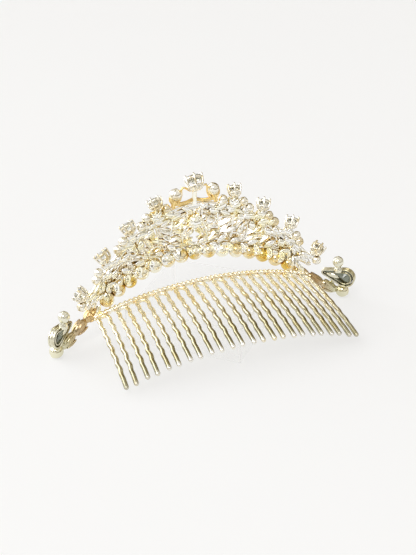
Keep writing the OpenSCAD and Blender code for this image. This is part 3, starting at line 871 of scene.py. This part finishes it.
def pear_stone():
    """A pear-shaped stone whose table looks to the front, in the bezel of the right end."""
    inset = PEAR_RIM + 0.1
    r = PEAR_ROUND - inset
    speck = 0.004 * MM
    rows = [(0, 0.06), (0, -0.06), (0.22, 0.19), (0.45, 0.3), (0.5, -0.42)]
    rest_selection()
    bpy.ops.mesh.primitive_circle_add(vertices=3, radius=5 * speck,
                                      location=(0.1 * PEAR_REACH * MM, 0, -0.75 * r * MM))
    stone = bpy.context.object
    bpy.ops.object.transform_apply(location=True, rotation=True, scale=True)
    edit(stone)
    for shrink, level in rows:
        for x, y in pear_outline(inset)[:-1:2]:
            corner = (x * (1 - shrink) * MM, y * (1 - shrink) * MM, level * r * MM)
            bpy.ops.mesh.primitive_circle_add(vertices=3, radius=speck, location=corner)
    flat = math.radians(3)
    bpy.ops.mesh.select_all(action="SELECT")
    bpy.ops.mesh.convex_hull(join_triangles=True, face_threshold=flat, shape_threshold=flat)
    bpy.ops.mesh.remove_doubles(threshold=5 * speck)
    bpy.ops.mesh.normals_make_consistent(inside=False)
    rest_selection()
    settle(stone, (0, 0, 0.6))
    settle(stone, turn=(-math.pi / 2, 0, 0))
    return on_pear(stone)


# Finishes

def finish_named(name, settings):
    """A material whose even values sit on the shader's own sockets."""
    material = bpy.data.materials.new(name)
    material.use_nodes = True
    shader = material.node_tree.nodes["Principled BSDF"]
    for socket, value in settings.items():
        shader.inputs[socket].default_value = value
    return material, material.node_tree, shader


def node(tree, kind, links=(), **settings):
    made = tree.nodes.new(kind)
    for key, value in settings.items():
        if key in made.inputs:
            made.inputs[key].default_value = value
        else:
            setattr(made, key, value)
    for source, socket in links:
        tree.links.new(source, made.inputs[socket])
    return made


def ramp(tree, source, stops):
    made = tree.nodes.new("ShaderNodeValToRGB")
    band = made.color_ramp
    while len(band.elements) < len(stops):
        band.elements.new(0.5)
    for element, (place, colour) in zip(band.elements, stops):
        element.position = place
        element.color = colour
    tree.links.new(source, made.inputs["Fac"])
    return made


def grey(value):
    return (value, value, value, 1)


def times(tree, first, second):
    """Two colours multiplied."""
    mix = node(tree, "ShaderNodeMix", [(first, 6), (second, 7)], data_type="RGBA", blend_type="MULTIPLY")
    mix.inputs["Factor"].default_value = 1.0
    return mix.outputs[2]


def polished_metal(name, pale, amber, hollow_shade, rough, metallic=1.0, reach=0.0016, run=None):
    """Plated metal: pale on its swells, with painted shade that turns it amber to brown in its hollows, and
    fine polishing marks.

    A run (axis, start, stop, stops) also changes its colour along an axis, the same to both sides."""
    material, tree, shader = finish_named(name, {"Metallic": metallic, "Roughness": rough})
    place = node(tree, "ShaderNodeTexCoord")
    cloud = node(tree, "ShaderNodeTexNoise", [(place.outputs["Object"], "Vector")], Scale=140.0, Detail=5.0)
    tint = ramp(tree, cloud.outputs["Fac"], [(0.48, (*pale, 1)), (0.66, (*amber, 1))])
    # Painted shade: ambient occlusion darkens the colour to amber and deep brown in hollows and creases
    depth = node(tree, "ShaderNodeAmbientOcclusion", samples=8, only_local=True, Distance=reach)
    deepest_shade = [0.45 * c * c for c in hollow_shade]
    shade = ramp(tree, depth.outputs["AO"], [(0.13, (*deepest_shade, 1)), (0.33, (*hollow_shade, 1)), (0.64, grey(1))])
    colour = times(tree, tint.outputs["Color"], shade.outputs["Color"])
    if run:
        axis, start, stop, stops = run
        split = node(tree, "ShaderNodeSeparateXYZ", [(place.outputs["Object"], "Vector")])
        out = node(tree, "ShaderNodeMath", [(split.outputs[axis], 0)], operation="ABSOLUTE")
        along = node(tree, "ShaderNodeMapRange", [(out.outputs[0], "Value")])
        along.inputs["From Min"].default_value = start * MM
        along.inputs["From Max"].default_value = stop * MM
        grade = ramp(tree, along.outputs["Result"], [(spot, (*c, 1)) for spot, c in stops])
        colour = times(tree, colour, grade.outputs["Color"])
    tree.links.new(colour, shader.inputs["Base Color"])
    marks = node(tree, "ShaderNodeTexNoise", [(place.outputs["Object"], "Vector")], Scale=2600.0, Detail=3.0)
    gloss = ramp(tree, marks.outputs["Fac"], [(0.3, grey(rough * 0.6)), (0.75, grey(rough * 1.8))])
    tree.links.new(gloss.outputs["Color"], shader.inputs["Roughness"])
    bump = node(tree, "ShaderNodeBump", [(marks.outputs["Fac"], "Height")], Strength=0.25, Distance=0.00003)
    tree.links.new(bump.outputs["Normal"], shader.inputs["Normal"])
    return material


def cut_glass(name, colour, ior):
    material, tree, shader = finish_named(name, {"Transmission Weight": 1.0, "Roughness": 0.02, "IOR": ior})
    place = node(tree, "ShaderNodeTexCoord")
    cloud = node(tree, "ShaderNodeTexNoise", [(place.outputs["Object"], "Vector")], Scale=400.0, Detail=3.0)
    darker = [c * 0.9 for c in colour]
    tint = ramp(tree, cloud.outputs["Fac"], [(0.3, (*colour, 1)), (0.8, (*darker, 1))])
    tree.links.new(tint.outputs["Color"], shader.inputs["Base Color"])
    return material


def clear_acrylic():
    """Clear cast acrylic: hardly seen on its faces, with a painted highlight that makes it a little whiter
    along its polished edges.
    """
    material, tree, shader = finish_named("clear_acrylic", {"Base Color": (0.95, 0.965, 0.97, 1),
                                                            "Roughness": 0.04})
    place = node(tree, "ShaderNodeTexCoord")
    squared = node(tree, "ShaderNodeMapping", [(place.outputs["Object"], "Vector")],
                   Rotation=(0, 0, math.pi / 4))
    split = node(tree, "ShaderNodeSeparateXYZ", [(squared.outputs["Vector"], "Vector")])
    near = []
    for axis, border in (("X", BLOCK_HALF - 0.6), ("Y", BLOCK_HALF - 0.6), ("Z", BLOCK_HEIGHT - 0.5)):
        away = node(tree, "ShaderNodeMath", [(split.outputs[axis], 0)], operation="ABSOLUTE")
        reached = node(tree, "ShaderNodeMath", [(away.outputs[0], 0)], operation="GREATER_THAN")
        reached.inputs[1].default_value = border * MM
        near.append(reached)
    first = node(tree, "ShaderNodeMath", [(near[0].outputs[0], 0), (near[1].outputs[0], 1)], operation="ADD")
    total = node(tree, "ShaderNodeMath", [(first.outputs[0], 0), (near[2].outputs[0], 1)], operation="ADD")
    edge = node(tree, "ShaderNodeMath", [(total.outputs[0], 0)], operation="GREATER_THAN")
    edge.inputs[1].default_value = 1.5
    # Painted highlight: near its edges the block is less clear and so whiter
    rim = node(tree, "ShaderNodeMath", [(edge.outputs[0], 0)], operation="MULTIPLY")
    rim.inputs[1].default_value = 0.3
    marks = node(tree, "ShaderNodeTexNoise", [(place.outputs["Object"], "Vector")], Scale=90.0, Detail=5.0)
    wipe = node(tree, "ShaderNodeMapRange", [(marks.outputs["Fac"], "Value")])
    wipe.inputs["To Min"].default_value = 0.02
    wipe.inputs["To Max"].default_value = 0.08
    alpha = node(tree, "ShaderNodeMath", [(rim.outputs[0], 0), (wipe.outputs["Result"], 1)], operation="ADD")
    tree.links.new(alpha.outputs[0], shader.inputs["Alpha"])
    return material


def dress(piece, material):
    piece.data.materials.clear()
    piece.data.materials.append(material)
    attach(piece, "root")
    return piece


# Studio

def make_camera():
    data = bpy.data.cameras.new("photo_view")
    data.lens = FOCAL_LENGTH
    data.sensor_width = 36
    data.sensor_fit = "HORIZONTAL"
    data.clip_start = 0.01
    camera = bpy.data.objects.new("photo_view", data)
    bpy.context.collection.objects.link(camera)
    camera.location = CAMERA_PLACE
    camera.rotation_euler = (math.acos(-VIEW[2]), 0, -math.atan2(VIEW[0], VIEW[1]))
    bpy.context.scene.camera = camera


def lamp(name, place, size, power):
    """A soft box of this size and power that aims at the tiara."""
    data = bpy.data.lights.new(name, "AREA")
    data.shape = "RECTANGLE"
    data.size, data.size_y = size
    data.energy = power
    light = bpy.data.objects.new(name, data)
    bpy.context.collection.objects.link(light)
    light.location = place
    away = [p - a for p, a in zip(place, LAMP_AIM)]
    flat = math.hypot(away[0], away[1])
    light.rotation_euler = (math.atan2(flat, away[2]), 0, math.atan2(away[0], -away[1]))


def make_floor():
    rest_selection()
    bpy.ops.mesh.primitive_grid_add(x_subdivisions=4, y_subdivisions=4, size=4, location=(0, 0, -0.0001))
    floor = bpy.context.object
    floor.name = "paper_floor"
    paper, _, _ = finish_named("white_paper", {"Base Color": grey(0.25), "Roughness": 0.9,
                                               "Emission Color": grey(1), "Emission Strength": 0.63})
    floor.data.materials.append(paper)


def spread(tree, source):
    """A direction's part along one axis, mapped from -1..1 to 0..1."""
    mapped = node(tree, "ShaderNodeMapRange", [(source, "Value")])
    mapped.inputs["From Min"].default_value = -1.0
    return mapped.outputs["Result"]


def product(tree, *sources):
    result = sources[0]
    for source in sources[1:]:
        result = node(tree, "ShaderNodeMath", [(result, 0), (source, 1)], operation="MULTIPLY").outputs[0]
    return result


def darkest(tree, *sources):
    result = sources[0]
    for source in sources[1:]:
        result = node(tree, "ShaderNodeMath", [(result, 0), (source, 1)], operation="MAXIMUM").outputs[0]
    return result


def mask(tree, source, stops):
    """A ramp of greys: (place, share) stops."""
    return ramp(tree, source, [(place, grey(share)) for place, share in stops]).outputs["Color"]


def painted(tree, share, under, over):
    """The colour under, with an even colour over it where the share is 1."""
    mix = node(tree, "ShaderNodeMix", [(share, 0), (under, 6)], data_type="RGBA")
    mix.inputs[7].default_value = over
    return mix.outputs[2]


def spot_in_tent(tree, direction, toward, inner, outer):
    """Mask that is 1 within the inner angle of a direction and 0 past the outer one, in degrees."""
    facing = node(tree, "ShaderNodeVectorMath", [(direction, 0)], operation="DOT_PRODUCT")
    facing.inputs[1].default_value = toward
    edge = node(tree, "ShaderNodeMapRange", [(facing.outputs["Value"], "Value")])
    edge.inputs["From Min"].default_value = math.cos(math.radians(outer))
    edge.inputs["From Max"].default_value = math.cos(math.radians(inner))
    return edge.outputs["Result"]


def make_tent():
    """The light tent that the metal mirrors, while the camera sees plain white paper.

    It is white cloth with dark seams, a dark horizon, a dark wall at the back right, a bright strip
    at the back left and the dark lens."""
    world = bpy.data.worlds.new("light_tent")
    bpy.context.scene.world = world
    world.use_nodes = True
    tree = world.node_tree
    direction = node(tree, "ShaderNodeTexCoord").outputs["Generated"]
    split = node(tree, "ShaderNodeSeparateXYZ", [(direction, "Vector")])
    across, away, height = [spread(tree, split.outputs[axis]) for axis in ("X", "Y", "Z")]

    band = mask(tree, height, [(0.46, 0), (0.48, 1), (0.54, 1), (0.57, 0)])
    open_side = mask(tree, across, [(0.3, 0), (0.36, 1)])
    wall = mask(tree, height, [(0.42, 0), (0.48, 1)])
    right_side = mask(tree, across, [(0.5, 0), (0.58, 0.66), (1, 1)])
    behind = mask(tree, away, [(0.6, 0), (0.7, 1)])
    seams = node(tree, "ShaderNodeTexVoronoi", [(direction, "Vector")], feature="DISTANCE_TO_EDGE", Scale=3.2)
    gaps = mask(tree, seams.outputs["Distance"], [(0.03, 0.9), (0.07, 0)])
    dark = darkest(tree, product(tree, band, open_side), product(tree, wall, right_side, behind), gaps)
    cloth = ramp(tree, dark, [(0.0, grey(1)), (0.5, (0.58, 0.46, 0.22, 1)), (1, (0.07, 0.046, 0.015, 1))])

    strip = mask(tree, across, [(0.12, 0), (0.15, 1), (0.27, 1), (0.31, 0)])
    lit = painted(tree, product(tree, strip, behind), cloth.outputs["Color"], (3.7, 3.7, 3.7, 1))
    lens = spot_in_tent(tree, direction, [-part for part in VIEW], 7, 10)
    tent = painted(tree, lens, lit, (0.04, 0.035, 0.03, 1))
    ray = node(tree, "ShaderNodeLightPath")
    seen = painted(tree, ray.outputs["Is Camera Ray"], tent, (0.95, 0.95, 0.955, 1))
    tree.links.new(seen, tree.nodes["Background"].inputs["Color"])


def make_studio():
    make_camera()
    make_floor()
    make_tent()
    lamp("front_softbox", (-0.6, -0.7, 1.1), (0.55, 0.55), 6)
    lamp("left_softbox", (-1.0, 0.1, 0.6), (0.6, 0.7), 3)
    bpy.context.scene.view_settings.view_transform = "Standard"


make_studio()

# Finishes of this tiara: a metal's pale tint, amber tint, the colour of the painted shade in its hollows, and
# roughness
pale_metal = polished_metal("pale_metal", (1, 1, 0.97), (1, 0.95, 0.68), (0.78, 0.56, 0.1), 0.06,
                            metallic=0.93, reach=0.002)
bright_metal = polished_metal("bright_metal", (0.96, 0.93, 0.83), (0.74, 0.6, 0.32), (0.36, 0.22, 0.05), 0.04)
gold_metal = polished_metal("gold_metal", (0.99, 0.95, 0.78), (0.8, 0.56, 0.13), (0.6, 0.36, 0.05), 0.08,
                            metallic=0.94, reach=0.0022)
arm_metal = polished_metal("arm_metal", (0.92, 0.7, 0.32), (0.52, 0.3, 0.06), (0.4, 0.22, 0.03), 0.05)
end_metal = polished_metal("end_metal", (0.84, 0.82, 0.68), (0.52, 0.46, 0.27), (0.26, 0.2, 0.08), 0.05,
                           reach=0.0022)
CHAIN_RUN = ("X", 42, 62, [(0.0, (0.7, 0.52, 0.26)), (0.3, (0.56, 0.42, 0.25)), (0.6, (0.68, 0.65, 0.46)),
                           (1.0, (0.95, 0.92, 0.72))])
chain_metal = polished_metal("chain_metal", (1, 1, 1), (0.84, 0.74, 0.54), (0.36, 0.24, 0.12), 0.04,
                             reach=0.002, run=CHAIN_RUN)
# Comb colour down the teeth: pale gold at the spine, darker olive lower down as painted shade of the
# reflected surroundings, pale again at the tips as a painted highlight
COMB_SHADE_AND_HIGHLIGHT_RUN = ("Y", 0, 40, [(0.0, (1, 0.96, 0.82)), (0.25, (0.9, 0.83, 0.64)), (0.5, (0.7, 0.64, 0.47)),
                         (0.8, (0.45, 0.42, 0.28)), (0.9, (0.42, 0.4, 0.28)), (0.95, (0.9, 0.88, 0.82))])
comb_metal = polished_metal("comb_metal", (1, 1, 1), (0.97, 0.9, 0.72), (0.75, 0.48, 0.12), 0.11,
                            run=COMB_SHADE_AND_HIGHLIGHT_RUN)
clear_glass = cut_glass("clear_glass", (0.75, 0.76, 0.71), 1.75)
grey_glass = cut_glass("grey_glass", (0.2, 0.22, 0.17), 1.7)

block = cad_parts["stand"]
block.data.materials.clear()
block.data.materials.append(clear_acrylic())

comb = make_comb()
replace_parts(dress(comb, comb_metal), "comb")
band = make_band()
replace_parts(dress(band, pale_metal), "band")
crest = make_crest()
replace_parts(dress(crest, pale_metal), "crest")
baskets = make_baskets_and_balls()
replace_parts(dress(baskets, bright_metal), "crest")
arms = make_arms()
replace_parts(dress(arms, arm_metal), "crest")
cups = make_cups()
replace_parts(dress(cups, gold_metal), "cup_border")
bead = bead_blank()
setting = make_pear_setting(bead)
chain = make_chain(bead)
discard(bead)
left_chain = rename(mirrored(chain), "chain_left")
left_setting = rename(mirrored(setting), "pear_setting_left")
for piece in (chain, left_chain):
    dress(piece, chain_metal)
for piece in (setting, left_setting):
    dress(piece, end_metal)
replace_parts(chain, "right_end")
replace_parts(setting, "right_end")
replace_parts(left_chain, "left_end")
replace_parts(left_setting, "left_end")
for node_name, stone in make_stones().items():
    pear = node_name.startswith("pear")
    dress(stone, grey_glass if pear else clear_glass)
    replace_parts(stone, node_name)

rest_selection()
